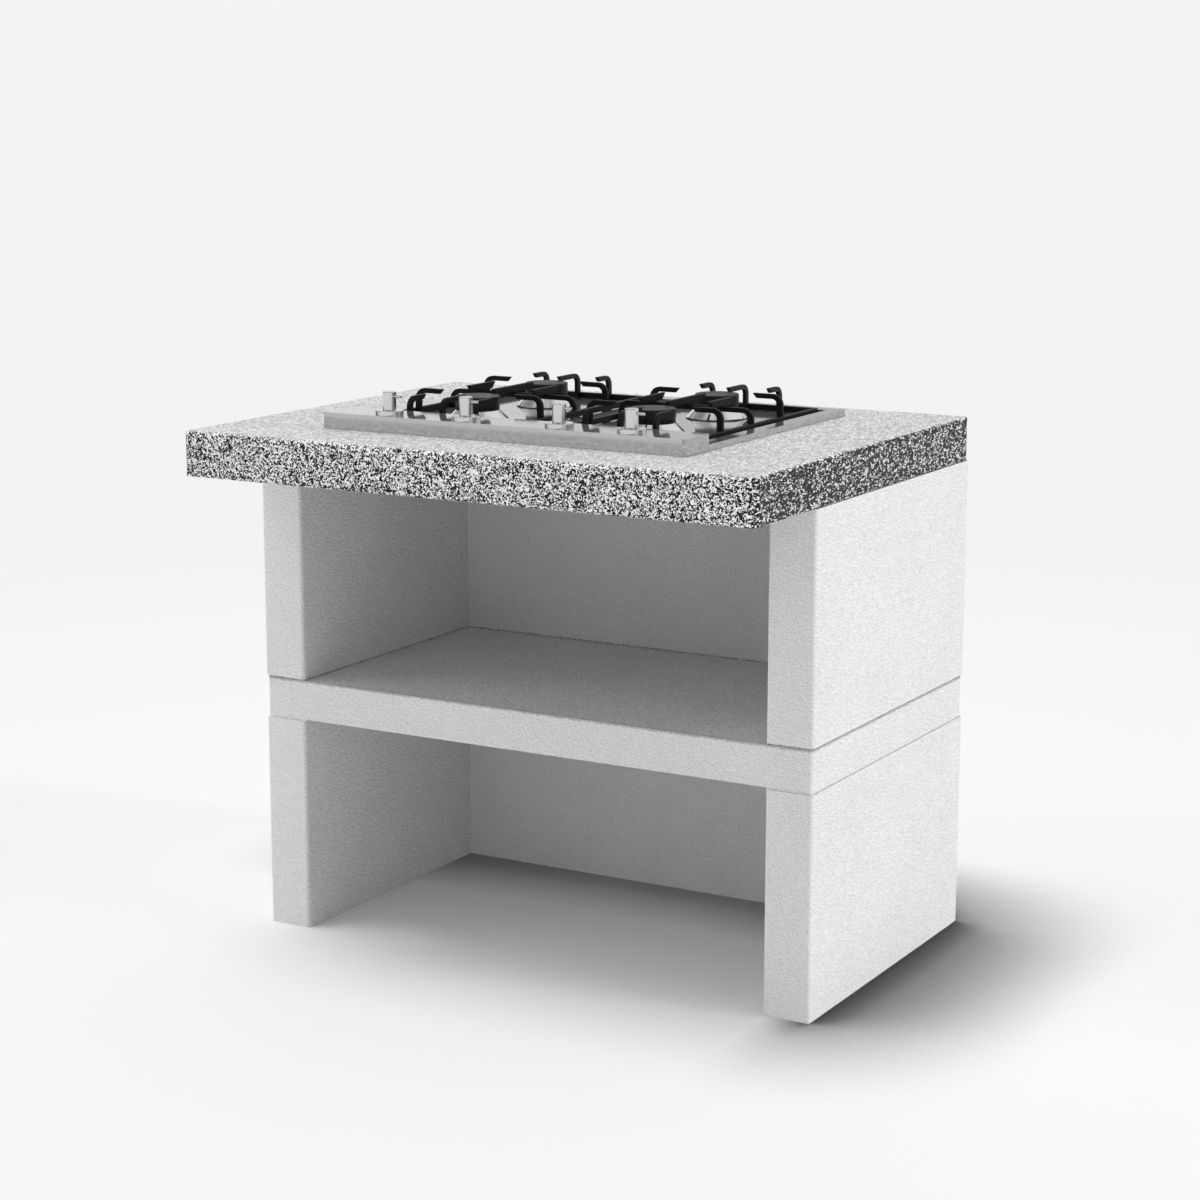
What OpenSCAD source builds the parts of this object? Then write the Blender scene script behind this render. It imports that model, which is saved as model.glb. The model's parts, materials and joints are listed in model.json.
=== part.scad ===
// Outdoor kitchen burner module: two open masonry units, a shelf slab, a worktop and a gas hob.
// X runs to the right, Y to the back and Z up. The floor is Z = 0.

/* [Masonry] */
// Width of the units and of the worktop
base_w = 900; // [820:10:1100]
// Depth of the units
base_d = 520; // [500:10:580]
// Thickness of the side walls and the back wall
wall_t = 70; // [50:5:100]
// Height of the lower unit
lower_h = 319; // [250:1:400]
// Height of the upper unit
upper_h = 322; // [250:1:400]
// Thickness of the shelf slab
slab_t = 59; // [40:1:80]
// How far the slab stands in from the faces of the units
slab_inset = 2; // [1:0.5:6]
// Thickness of a mortar joint
joint_t = 2.5; // [1.5:0.5:6]
// How far the mortar is raked back from the slab's face
joint_rake = 1; // [0.5:0.5:8]
// Radius of the eased upright edges
edge_r = 5; // [2:1:12]

/* [Worktop] */
// Thickness of the worktop
top_t = 65; // [58:1:90]
// How far the worktop reaches out over the front of the units
top_overhang = 180; // [120:5:220]
// Radius of the worktop's corners in plan
top_corner_r = 14; // [10:1:30]
// Radius of the worktop's upper edge
top_edge_r = 8; // [3:1:9]
// Radius of the worktop's lower edge
under_edge_r = 4; // [2:1:8]

/* [Hob top] */
// Width of the hob
hob_w = 580; // [570:2:620]
// Depth of the hob
hob_d = 500; // [496:2:520]
// Gap from the worktop's front edge to the hob
hob_front_gap = 115; // [90:5:140]
// Radius of the hob's corners in plan
hob_corner_r = 5; // [3:1:12]
// Height of the rim over the worktop
rim_h = 9; // [7:0.5:14]
// Width of the rim beside and behind the burner field
rim_w = 22; // [16:1:26]
// Depth of the raised control strip
strip_d = 70; // [60:1:74]
// Height of the control strip over the worktop
strip_h = 23.5; // [18:0.5:30]
// Height of the sunken burner field over the worktop
field_h = 2; // [2:0.5:5]
// Thickness of the hob's sheet
sheet_t = 1.5; // [1:0.1:1.8]
// How far the hob laps over the edge of the cut-out
hob_lap = 8; // [5:0.5:12]

/* [Burner box] */
// Depth of the box under the worktop's top face
box_depth = 48; // [46:1:54]
// Thickness of the box's sheet
box_t = 1.2; // [0.8:0.1:2]
// Gap between the box and the cut-out
box_gap = 3; // [1:0.5:6]
// Radius of the posts that carry the box
post_r = 4; // [3.2:0.2:5]
// Width of the foam sealing strip
seal_w = 5; // [3:0.5:6]

/* [Burners] */
// Distance of the burners from the middle of the pan supports, front to back
burner_y = 96; // [90:1:97]
// Radius of a burner cap
cap_r = 32; // [28:0.5:33]
// Height of a burner cap
cap_h = 13; // [8:0.5:14]
// Height of the burner crown's ring
crown_h = 7; // [6:0.5:9]
// Number of flame slots round a crown
slot_count = 24; // [16:1:30]
// Width of a flame slot
slot_w = 1.8; // [1:0.1:2.4]
// Radius of the flared skirt at its foot
skirt_r = 45; // [42:0.5:50]
// Height of the burner body over the hob, which the skirt hides
skirt_h = 15; // [12:0.5:16]
// Height of the seal under the skirt
skirt_seal_h = 1.2; // [0.8:0.1:2]
// Thickness of the skirt's sheet
skirt_t = 1.2; // [0.8:0.1:1.6]
// Radius of the burner body
cup_r = 24; // [22:0.5:25]

/* [Pan supports] */
// Gap between the control strip and the pan supports
support_front_gap = 4.5; // [2:0.5:8]
// Gap between the back rim and the pan supports
support_back_gap = 3.5; // [2:0.5:8]
// Gap between the side rims and the pan supports
support_side_gap = 9; // [5:0.5:14]
// Gap between the two pan supports
support_middle_gap = 58; // [44:1:66]
// Height of the pan supports over the worktop
support_top = 42; // [40:0.5:50]
// Height of a support foot
foot_h = 1.5; // [1:0.5:3]
// Height of the low rails
rail_h = 8.5; // [6:0.5:10]
// Width of the low rails
rail_w = 8; // [8:0.5:10]
// Thickness of the bars
bar_t = 6; // [4:0.5:8]
// How far the fingers' legs stand in from the rails' outer faces
leg_inset = 7; // [4:0.5:7]
// Height of a finger's arm
arm_h = 7; // [5:0.5:9]
// Width of a finger's leg
leg_w = 9; // [7:0.5:11]
// Outer radius of a finger's bend
bend_r = 16; // [12:1:18]
// Depth of the crossbar's top under the fingers' tops
cross_drop = 10; // [8:0.5:12]
// Distance of the side fingers from the middle of the pan supports, front to back
finger_row = 93; // [90:1:96]
// Spacing of the fingers that run front to back
finger_pitch = 55; // [48:1:60]
// Distance of the side fingers' tips from the pan support's middle, sideways
side_tip = 60; // [52:1:62]
// Distance of the short fingers' tips from the row of the side fingers
short_tip = 57; // [50:1:60]
// Distance of the long fingers' tips from the row of the side fingers
long_tip = 36.5; // [36.5:0.5:44]

/* [Knobs] */
// Sideways place of the front left burner's knob
knob_1_x = -191; // [-220:1:-170]
// Sideways place of the back left burner's knob
knob_2_x = -64; // [-90:1:-40]
// Sideways place of the back right burner's knob
knob_3_x = 85; // [60:1:100]
// Sideways place of the front right burner's knob
knob_4_x = 197; // [170:1:206]
// Distance of the knobs from the hob's front edge
knob_setback = 23; // [22:0.5:26]
// Radius of a knob
knob_r = 9.5; // [8:0.5:11]
// Height of a knob over its base ring
knob_h = 26; // [20:1:34]
// Radius of a base ring
bezel_r = 20; // [17:0.5:21]
// Height of a base ring
bezel_h = 6.5; // [5.5:0.5:9]
// Radius of the lever pin
lever_r = 2; // [1.5:0.1:2.5]
// Reach of the lever pin from the knob's axis
lever_reach = 20; // [15:0.5:26]
// Depth of the lever pin's axis under the knob's top
lever_drop = 6.5; // [4:0.5:9]
// Travel of a pushed knob
push_travel = 3; // [2:0.5:3]

/* [Gas parts] */
// Radius of a tap spindle
spindle_r = 3; // [2.5:0.1:3.4]
// Radius of a tap's barrel
barrel_r = 9; // [8.5:0.1:9.5]
// Radius of the manifold tube
manifold_r = 7; // [5:0.5:8]
// Wall of the manifold tube
manifold_wall = 1.2; // [0.8:0.1:2]
// Radius of a feed tube
feed_r = 3; // [2:0.5:3.5]
// Radius of the gas inlet's thread
inlet_r = 10.48; // [8:0.02:12]
// Length of the gas inlet's thread
inlet_len = 20; // [15:1:28]

/* [Clearances] */
// Radial clearance of a turning spindle
run_gap = 0.05; // [0.02:0.01:0.1]
// Clearance round pieces that lift or slide
slide_gap = 0.4; // [0.3:0.05:0.6]
// Gap at a seat that only just clears
seat_gap = 0.2; // [0.1:0.05:0.3]

/* [Hidden] */
$fn = 64;

// How far a cut runs past the faces that it opens
over = 1;

// Heights of the masonry, from the floor up
lower_joint_z = lower_h;
slab_z = lower_joint_z + joint_t;
upper_joint_z = slab_z + slab_t;
upper_z = upper_joint_z + joint_t;
under_z = upper_z + upper_h;
top_z = under_z + top_t;

// Places in plan, with the worktop's middle at the origin
top_d = base_d + top_overhang;
base_y = top_overhang / 2;
hob_front_y = -top_d / 2 + hob_front_gap;
hob_y = hob_front_y + hob_d / 2;
field_front_y = hob_front_y + strip_d;
field_back_y = hob_front_y + hob_d - rim_w;
field_w = hob_w - 2 * rim_w;
knob_y = hob_front_y + knob_setback;
support_w = (field_w - support_middle_gap) / 2 - support_side_gap;
support_d = field_back_y - field_front_y - support_front_gap - support_back_gap;
support_y = field_front_y + support_front_gap + support_d / 2;
burner_x = (support_middle_gap + support_w) / 2;

// Cut-out and box
cut_w = hob_w - 2 * hob_lap;
cut_d = hob_d - 2 * hob_lap;
box_w = cut_w - 2 * box_gap;
box_d = cut_d - 2 * box_gap;
box_z = top_z - box_depth;
box_floor_z = box_z + box_t;
rim_under_z = top_z + rim_h - sheet_t;
strip_under_z = top_z + strip_h - sheet_t;
field_z = top_z + field_h;
field_under_z = field_z - sheet_t;
post_gap = 0.5;
post_wall = 1.6;
post_setback = 14;
post_x = field_w / 2 - sheet_t - post_r - post_gap;
post_front_y = field_front_y + post_setback;
post_back_y = field_back_y - sheet_t - post_r - post_gap;
screw_r = post_r - post_wall;
screw_head_lip = 2;
screw_head_r = screw_r + screw_head_lip;
screw_head_h = 3;
screw_len = 11;
screw_end = 5;
air_hole_r = 5;
air_hole_at = 22;

// Clamps under the worktop
clamp_w = 30;
clamp_t = 1.5;
clamp_foot = 22;
clamp_grip = 16;
clamp_space = 15;
clamp_foot_x = box_w / 2 - clamp_foot;

// Burner stack, from the field up
body_top_z = field_z + skirt_h;
crown_top_z = body_top_z + crown_h;
flange_lip = 6;
flange_r = cup_r + flange_lip;
flange_t = 4;
chamber_wall = 4.5;
chamber_r = cup_r - chamber_wall;
chamber_h = 12;
neck_r = 5;
holder_r = 12;
holder_lift = 12;
holder_z = box_z + holder_lift;
injector_r = 3;
injector_lift = 4;
injector_z = holder_z + injector_lift;
injector_seat_z = injector_z + 6;
window_lift = 10;
window_z = injector_seat_z + window_lift;
window_h = 7;
window_w = 10;
cap_lip = 0.5;
crown_r = cap_r - cap_lip;
crown_wall = 3;
crown_bore_r = chamber_r - crown_wall;
spigot_h = 6;
slot_floor = 2;
slot_roof = 1.5;
lip_h = 3;
lip_wall = 3;
body_screw_r = 1.6;
body_screw_head_lip = 0.9;
body_screw_head_h = 1.6;
body_screw_at = cup_r + 3.4;
skirt_lip_w = 0.6;
skirt_lip_h = 0.8;
skirt_seal_w = 4;

// Electrodes stand behind each burner, on its left
electrode_r = 2.2;
electrode_turn = 120;
electrode_at = flange_r + electrode_r + 2;
electrode_depth = 20;
electrode_foot_z = top_z - electrode_depth;
electrode_collar_r = electrode_r + 1.1;
electrode_collar_h = 4;
spark_r = 0.9;
spark_h = 5;
module_size = [60, 34, 20];
module_y = support_y;
lead_r = 1.2;
lead_lift = 4;
lead_z = box_floor_z + lead_lift;
lead_gap = 30;
lead_row = 8;

// Taps, manifold and inlet
spindle_hole_gap = 2.3;
barrel_drop = 9;
barrel_roof = 3;
barrel_floor = 6;
barrel_top_z = top_z - barrel_drop;
chamber_top_z = barrel_top_z - barrel_roof;
collar_h = 2;
collar_lip = 2.5;
collar_r = spindle_r + collar_lip;
plunger_h = 2;
plunger_lip = 0.5;
plunger_r = collar_r + plunger_lip;
plunger_top_z = chamber_top_z - seat_gap - collar_h - seat_gap / 2;
plunger_z = plunger_top_z - plunger_h;
spring_wire = 1;
spring_h = 11.4;
spring_turns = 5;
spring_z = plunger_z - spring_h;
chamber_z = spring_z;
spring_mid_r = plunger_r - spring_wire;
tap_chamber_r = plunger_r + slide_gap;
barrel_z = chamber_z - barrel_floor;
travel_gap = 0.5;
spindle_z = barrel_z + push_travel + travel_gap;
knob_foot_z = top_z + strip_h + push_travel + travel_gap;
bezel_top_z = top_z + strip_h + bezel_h;
knob_top_z = bezel_top_z + knob_h;
knob_crown = 3;
spindle_top_z = knob_top_z - lever_drop - lever_r - knob_crown;
lever_hole = 5;
flat_depth = 0.8;
manifold_y = knob_y + barrel_r + manifold_r + 9;
manifold_z = barrel_z + manifold_r + 2;
manifold_end = 2;
bracket_w = 14;
bracket_wall = 3;
block_w = 18;
block_wall = 1.5;
block_root = 4;
block_back_y = manifold_y + manifold_r + block_root;
outlet_z = manifold_z + manifold_r + block_wall + feed_r;
outlet_y = manifold_y + manifold_r - block_root;
tube_bend = 20;
tube_drop = 45;
tube_side = 44;
tube_join = 60;
manifold_overrun = 26;
manifold_left_x = knob_1_x - manifold_overrun;
manifold_side_space = 10;
manifold_side_x = post_x - post_r - manifold_r - manifold_side_space;
inlet_setback = 40;
inlet_y = post_back_y - inlet_setback;
inlet_wall = 3;
elbow_wall = 2;
elbow_r = inlet_r + elbow_wall;
elbow_top_z = manifold_z + manifold_r + elbow_wall;
elbow_neck = 2;
elbow_flange_r = elbow_r + 3;
elbow_flange_t = 2;
thread_z = box_z - elbow_neck;
inlet_z = thread_z - inlet_len;

// Pan supports
rail_z = field_z + foot_h;
arm_top_z = top_z + support_top;
cross_top_z = arm_top_z - cross_drop;
inner_bend_r = bend_r - arm_h - 1;
tip_slant = 0.9;
foot_r = 4;

burner_spots = [
  [-burner_x, support_y - burner_y], [-burner_x, support_y + burner_y],
  [burner_x, support_y + burner_y], [burner_x, support_y - burner_y]
];
knob_xs = [knob_1_x, knob_2_x, knob_3_x, knob_4_x];

// A flat rectangle with round corners, centred
module round_rect(w, d, r) {
  square([w - 2 * r, d], center = true);
  square([w, d - 2 * r], center = true);
  for (x = [-1, 1], y = [-1, 1])
    translate([x * (w / 2 - r), y * (d / 2 - r)])
      circle(r);
}

function unit(v) = v / norm(v);

// Carries a ring of points along a run to the mitre plane at its end
function carried(ring, from, to, next) =
  let (dir = unit(to - from), cut = is_undef(next) ? dir : unit(dir + unit(next - to)))
  [for (p = ring) p + dir * ((to - p) * cut) / (dir * cut)];

function rings_from(points, ring, i = 1) =
  i == len(points) ? [] :
  let (made = carried(ring, points[i - 1], points[i], points[i + 1]))
  concat([made], rings_from(points, made, i + 1));

// A tube or wire along straight runs with mitred corners, as one solid
module run_along(points, r, sides = 12) {
  dir = unit(points[1] - points[0]);
  across = unit(cross(dir, abs(dir.z) > 0.9 ? [1, 0, 0] : [0, 0, 1]));
  over = cross(dir, across);
  first = [for (k = [0 : sides - 1])
    points[0] + r * (across * cos(k * 360 / sides) + over * sin(k * 360 / sides))];
  rings = concat([first], rings_from(points, first));
  last = (len(points) - 1) * sides;
  walls = [for (i = [0 : len(points) - 2], k = [0 : sides - 1])
    let (a = i * sides + k, b = i * sides + (k + 1) % sides)
    each [[a, a + sides, b], [b, a + sides, b + sides]]];
  start = [for (k = [1 : sides - 2]) [0, k, k + 1]];
  end = [for (k = [1 : sides - 2]) [last, last + k + 1, last + k]];
  polyhedron(points = [for (ring = rings) each ring], faces = concat(walls, start, end));
}

// A slab whose long edges are round: radius top_r above and low_r below
module edge_profile(w, h, top_r, low_r) {
  translate([-w / 2 + top_r, h - top_r]) square([w - 2 * top_r, top_r]);
  translate([-w / 2, low_r]) square([w, h - top_r - low_r]);
  translate([-w / 2 + low_r, 0]) square([w - 2 * low_r, low_r]);
  for (x = [-1, 1]) {
    translate([x * (w / 2 - top_r), h - top_r]) circle(top_r);
    translate([x * (w / 2 - low_r), low_r]) circle(low_r);
  }
}

module eased_slab(w, d, h, corner_r, top_r, low_r) {
  intersection() {
    linear_extrude(h) round_rect(w, d, corner_r);
    translate([0, d / 2, 0])
      rotate([90, 0, 0])
        linear_extrude(d) edge_profile(w, h, top_r, low_r);
    translate([-w / 2, 0, 0])
      rotate([90, 0, 90])
        linear_extrude(w) edge_profile(d, h, top_r, low_r);
  }
}

// Outline of a masonry unit: two side walls and a back wall, open at the front
module unit_outline(r) {
  for (x = [-1, 1])
    translate([x * (base_w / 2 - wall_t / 2), 0])
      round_rect(wall_t, base_d, r);
  translate([0, base_d / 2 - wall_t / 2])
    square([base_w - wall_t, wall_t], center = true);
}

module masonry_unit(z, h) {
  color("white")
    translate([0, base_y, z])
      linear_extrude(h) unit_outline(edge_r);
}

// Raked back at the outside and flush with the walls' inner faces
module mortar(z) {
  rake = slab_inset + joint_rake;
  color("gray")
    translate([0, base_y, z])
      linear_extrude(joint_t)
        difference() {
          round_rect(base_w - 2 * rake, base_d - 2 * rake, edge_r);
          translate([0, -wall_t]) square([base_w - 2 * wall_t, base_d], center = true);
        }
}

module lower_unit() {
  masonry_unit(0, lower_h);
}

module upper_unit() {
  masonry_unit(upper_z, upper_h);
}

module lower_joint() {
  mortar(lower_joint_z);
}

module upper_joint() {
  mortar(upper_joint_z);
}

module shelf_slab() {
  color("whitesmoke")
    translate([0, base_y, slab_z])
      linear_extrude(slab_t)
        round_rect(base_w - 2 * slab_inset, base_d - 2 * slab_inset, edge_r);
}

module worktop() {
  color("lightgray")
    difference() {
      translate([0, 0, under_z])
        eased_slab(base_w, top_d, top_t, top_corner_r, top_edge_r, under_edge_r);
      translate([0, hob_y, under_z - over])
        linear_extrude(top_t + 2 * over) square([cut_w, cut_d], center = true);
    }
}

// Foam strip on the worktop, inside the hob's outer wall
module hob_seal() {
  outer_w = hob_w - 2 * sheet_t - 2 * seat_gap;
  outer_d = hob_d - 2 * sheet_t - 2 * seat_gap;
  color("dimgray")
    translate([0, hob_y, top_z])
      linear_extrude(rim_h - sheet_t)
        difference() {
          round_rect(outer_w, outer_d, hob_corner_r - sheet_t - seat_gap);
          square([outer_w - 2 * seal_w, outer_d - 2 * seal_w], center = true);
        }
}

// The hob's sheet as a solid: grow = 0 gives the outside and grow = -sheet_t the inside
module hob_form(grow) {
  strip_y = hob_front_y + strip_d / 2;
  translate([0, hob_y, top_z - over])
    linear_extrude(rim_h + grow + over)
      round_rect(hob_w + 2 * grow, hob_d + 2 * grow, hob_corner_r + grow);
  translate([0, strip_y, top_z - over])
    linear_extrude(strip_h + grow + over)
      round_rect(hob_w + 2 * grow, strip_d + 2 * grow, hob_corner_r + grow);
}

module field_pocket(grow) {
  depth = field_back_y - field_front_y;
  translate([0, (field_back_y + field_front_y) / 2, field_z + grow])
    linear_extrude(strip_h)
      square([field_w - 2 * grow, depth - 2 * grow], center = true);
}

module hob_top() {
  color("silver")
    difference() {
      union() {
        difference() {
          hob_form(0);
          field_pocket(0);
          difference() {
            hob_form(-sheet_t);
            field_pocket(-sheet_t);
          }
          translate([-hob_w, hob_front_y - over, top_z - 2 * over])
            cube([2 * hob_w, hob_d + 2 * over, 2 * over]);
        }
        for (x = [-1, 1], y = [post_front_y, post_back_y])
          translate([x * post_x, y, box_floor_z])
            cylinder(h = field_under_z - box_floor_z + sheet_t / 2, r = post_r);
      }
      for (x = knob_xs)
        translate([x, knob_y, strip_under_z - over])
          cylinder(h = sheet_t + 2 * over, r = spindle_r + spindle_hole_gap);
      for (spot = burner_spots) {
        translate([spot.x, spot.y, field_under_z - over])
          cylinder(h = sheet_t + 2 * over, r = cup_r + slide_gap);
        for (turn = [0, 180])
          translate([spot.x, spot.y, field_under_z - over])
            rotate([0, 0, turn])
              translate([body_screw_at, 0, 0])
                cylinder(h = sheet_t + 2 * over, r = body_screw_r + seat_gap);
        electrode_place(spot)
          translate([0, 0, field_under_z - over])
            cylinder(h = sheet_t + 2 * over, r = electrode_r + seat_gap);
      }
      for (x = [-1, 1], y = [post_front_y, post_back_y])
        translate([x * post_x, y, box_floor_z - over])
          cylinder(h = screw_len + over, r = screw_r + run_gap);
    }
}

module burner_box() {
  color("gray")
    difference() {
      translate([0, hob_y, box_z])
        linear_extrude(rim_under_z - box_z)
          square([box_w, box_d], center = true);
      translate([0, hob_y, box_floor_z])
        linear_extrude(rim_under_z - box_z)
          square([box_w - 2 * box_t, box_d - 2 * box_t], center = true);
      for (x = [-1, 1], y = [post_front_y, post_back_y])
        translate([x * post_x, y, box_z - over])
          cylinder(h = box_t + 2 * over, r = screw_r + seat_gap);
      for (x = [-1, 1], y = [-1, 1])
        clamp_place(x, y)
          translate([clamp_foot_x + clamp_foot / 2, 0, box_z - over])
            cylinder(h = box_t + 2 * over, r = screw_r + run_gap);
      translate([manifold_side_x, inlet_y, box_z - over])
        cylinder(h = box_t + 2 * over, r = elbow_r + slide_gap);
      for (spot = burner_spots, turn = [0 : 60 : 300])
        translate([spot.x, spot.y, box_z - over])
          rotate([0, 0, turn])
            translate([air_hole_at, 0, 0])
              cylinder(h = box_t + 2 * over, r = air_hole_r);
    }
}

module box_screws() {
  color("silver")
    for (x = [-1, 1], y = [post_front_y, post_back_y])
      translate([x * post_x, y, box_z])
        plain_screw(screw_r, screw_len, screw_head_r, screw_head_h);
}

// A screw whose head hangs under Z = 0 and whose shank stands up
module plain_screw(r, length, head_r, head_h) {
  translate([0, 0, -head_h]) cylinder(h = head_h, r = head_r);
  cylinder(h = length, r = r);
}

// The front clamps stand behind the front posts, the back ones before the gas inlet
module clamp_place(x, y) {
  front_y = post_front_y + screw_head_r + clamp_space + clamp_w / 2;
  back_y = inlet_y - elbow_flange_r - clamp_space - clamp_w / 2;
  translate([0, y < 0 ? front_y : back_y, 0])
    mirror([x < 0 ? 1 : 0, 0, 0])
      children();
}

// Stepped brackets that grip the underside of the worktop
module hob_clamps() {
  web_x = box_w / 2;
  color("darkgray")
    for (x = [-1, 1], y = [-1, 1])
      clamp_place(x, y)
        difference() {
          translate([0, clamp_w / 2, 0])
            rotate([90, 0, 0])
              linear_extrude(clamp_w)
                polygon([
                  [clamp_foot_x, box_z], [web_x, box_z], [web_x, under_z],
                  [web_x + clamp_grip, under_z], [web_x + clamp_grip, under_z - clamp_t],
                  [web_x - clamp_t, under_z - clamp_t], [web_x - clamp_t, box_z - clamp_t],
                  [clamp_foot_x, box_z - clamp_t]
                ]);
          translate([clamp_foot_x + clamp_foot / 2, 0, box_z - clamp_t - over])
            cylinder(h = clamp_t + 2 * over, r = screw_r + run_gap);
        }
}

module clamp_screws() {
  color("silver")
    for (x = [-1, 1], y = [-1, 1])
      clamp_place(x, y)
        translate([clamp_foot_x + clamp_foot / 2, 0, box_z - clamp_t])
          plain_screw(screw_r, clamp_t + box_t + screw_end, screw_head_r, screw_head_h);
}

// Gas tube: across the front under the taps, then back along the right side
module gas_manifold() {
  corner = [manifold_side_x, manifold_y, manifold_z];
  back_len = inlet_y - elbow_r - manifold_y + elbow_wall;
  bore_r = manifold_r - manifold_wall;
  color("lightsteelblue")
    difference() {
      union() {
        translate([manifold_left_x, manifold_y, manifold_z])
          rotate([0, 90, 0])
            cylinder(h = manifold_side_x - manifold_left_x, r = manifold_r);
        translate(corner) sphere(manifold_r);
        translate(corner)
          rotate([-90, 0, 0])
            cylinder(h = back_len, r = manifold_r);
      }
      translate([manifold_left_x + manifold_end, manifold_y, manifold_z])
        rotate([0, 90, 0])
          cylinder(h = manifold_side_x - manifold_left_x - manifold_end, r = bore_r);
      translate(corner) sphere(bore_r);
      translate(corner)
        rotate([-90, 0, 0])
          cylinder(h = back_len + over, r = bore_r);
    }
}

// Saddles that carry the tube on the floor of the box
module manifold_brackets() {
  height = manifold_z - box_floor_z;
  color("darkgray")
    for (x = [(knob_1_x + knob_2_x) / 2, (knob_3_x + knob_4_x) / 2])
      translate([x, manifold_y, 0])
        difference() {
          translate([-bracket_w / 2, -manifold_r - bracket_wall, box_floor_z])
            cube([bracket_w, 2 * (manifold_r + bracket_wall), height]);
          translate([-bracket_w, 0, manifold_z])
            rotate([0, 90, 0])
              cylinder(h = 2 * bracket_w, r = manifold_r + seat_gap / 2);
        }
}

// Brass elbow on the floor of the box: the tube enters from the front, the thread points down
module inlet_elbow() {
  bore_r = inlet_r - inlet_wall;
  color("goldenrod")
    translate([manifold_side_x, inlet_y, 0])
      difference() {
        union() {
          translate([0, 0, thread_z]) cylinder(h = elbow_top_z - thread_z, r = elbow_r);
          translate([0, 0, box_floor_z]) cylinder(h = elbow_flange_t, r = elbow_flange_r);
          translate([0, 0, inlet_z]) cylinder(h = inlet_len + over, r = inlet_r);
        }
        translate([0, 0, inlet_z - over]) cylinder(h = manifold_z - inlet_z + over, r = bore_r);
        translate([0, -elbow_r - over, manifold_z])
          rotate([-90, 0, 0])
            cylinder(h = elbow_r + over, r = manifold_r + seat_gap / 2);
      }
}

module tap_body() {
  block_len = block_back_y - knob_y - barrel_r + block_root;
  difference() {
    union() {
      translate([0, 0, barrel_z]) cylinder(h = barrel_top_z - barrel_z, r = barrel_r);
      translate([-block_w / 2, barrel_r - block_root, barrel_z])
        cube([block_w, block_len, outlet_z + feed_r + block_wall - barrel_z]);
    }
    translate([0, 0, barrel_z - over])
      cylinder(h = barrel_top_z - barrel_z + 2 * over, r = spindle_r + run_gap);
    translate([0, 0, chamber_z])
      cylinder(h = chamber_top_z - chamber_z, r = tap_chamber_r);
    translate([-block_w, manifold_y - knob_y, manifold_z])
      rotate([0, 90, 0])
        cylinder(h = 2 * block_w, r = manifold_r + seat_gap / 2);
    translate([0, outlet_y - knob_y, outlet_z])
      rotate([-90, 0, 0])
        cylinder(h = block_back_y - outlet_y + over, r = feed_r + seat_gap / 2);
  }
}

module gas_taps() {
  color("khaki")
    for (x = knob_xs)
      translate([x, knob_y, 0])
        tap_body();
}

// A wound spring from Z = 0 up: a ring of points at each step along the helix
module coil(mid_r, wire, height, turns, steps_per_turn = 12, sides = 6) {
  steps = turns * steps_per_turn;
  rise = height - wire;
  points = [for (i = [0 : steps], k = [0 : sides - 1])
    let (
      a = i * 360 / steps_per_turn,
      b = k * 360 / sides,
      r = mid_r + wire / 2 * cos(b)
    )
    [r * cos(a), r * sin(a), wire / 2 + rise * i / steps + wire / 2 * sin(b)]];
  walls = [for (i = [0 : steps - 1], k = [0 : sides - 1])
    let (a = i * sides + k, b = i * sides + (k + 1) % sides)
    each [[a, b, b + sides], [a, b + sides, a + sides]]];
  start = [for (k = [1 : sides - 2]) [0, k + 1, k]];
  last = steps * sides;
  end = [for (k = [1 : sides - 2]) [last, last + k, last + k + 1]];
  polyhedron(points = points, faces = concat(walls, start, end), convexity = 2 * turns);
}

module tap_spring(i) {
  color("lightgray")
    translate([knob_xs[i], knob_y, spring_z])
      coil(spring_mid_r, spring_wire, spring_h - seat_gap / 2, spring_turns);
}

module tap_plunger(i) {
  color("orange")
    translate([knob_xs[i], knob_y, plunger_z])
      difference() {
        cylinder(h = plunger_h, r = plunger_r);
        translate([0, 0, -over])
          cylinder(h = plunger_h + 2 * over, r = spindle_r + run_gap);
      }
}

// The shaft turns and is pushed with the knob; its upper end has a flat
module tap_spindle(i) {
  color("steelblue")
    translate([knob_xs[i], knob_y, 0])
      difference() {
        union() {
          translate([0, 0, spindle_z]) cylinder(h = spindle_top_z - spindle_z, r = spindle_r);
          translate([0, 0, chamber_top_z - seat_gap - collar_h])
            cylinder(h = collar_h, r = collar_r);
        }
        translate([-spindle_r, spindle_r - flat_depth, knob_foot_z])
          cube([2 * spindle_r, spindle_r, spindle_top_z]);
      }
}

module knob(i) {
  edge = 0.8;
  height = knob_top_z - knob_foot_z;
  lever_z = knob_top_z - lever_drop;
  color("gainsboro")
    translate([knob_xs[i], knob_y, 0])
      difference() {
        translate([0, 0, knob_foot_z]) {
          cylinder(h = height - edge, r = knob_r);
          translate([0, 0, height - edge])
            rotate_extrude() polygon([[0, 0], [knob_r, 0], [knob_r - edge, edge], [0, edge]]);
        }
        difference() {
          translate([0, 0, knob_foot_z - over])
            cylinder(h = spindle_top_z - knob_foot_z + over + seat_gap, r = spindle_r + run_gap);
          translate([-knob_r, spindle_r - flat_depth + run_gap, knob_foot_z - 2 * over])
            cube([2 * knob_r, knob_r, knob_h]);
        }
        translate([knob_r - lever_hole, 0, lever_z])
          rotate([0, 90, 0])
            cylinder(h = lever_hole + over, r = lever_r + run_gap);
      }
}

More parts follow.
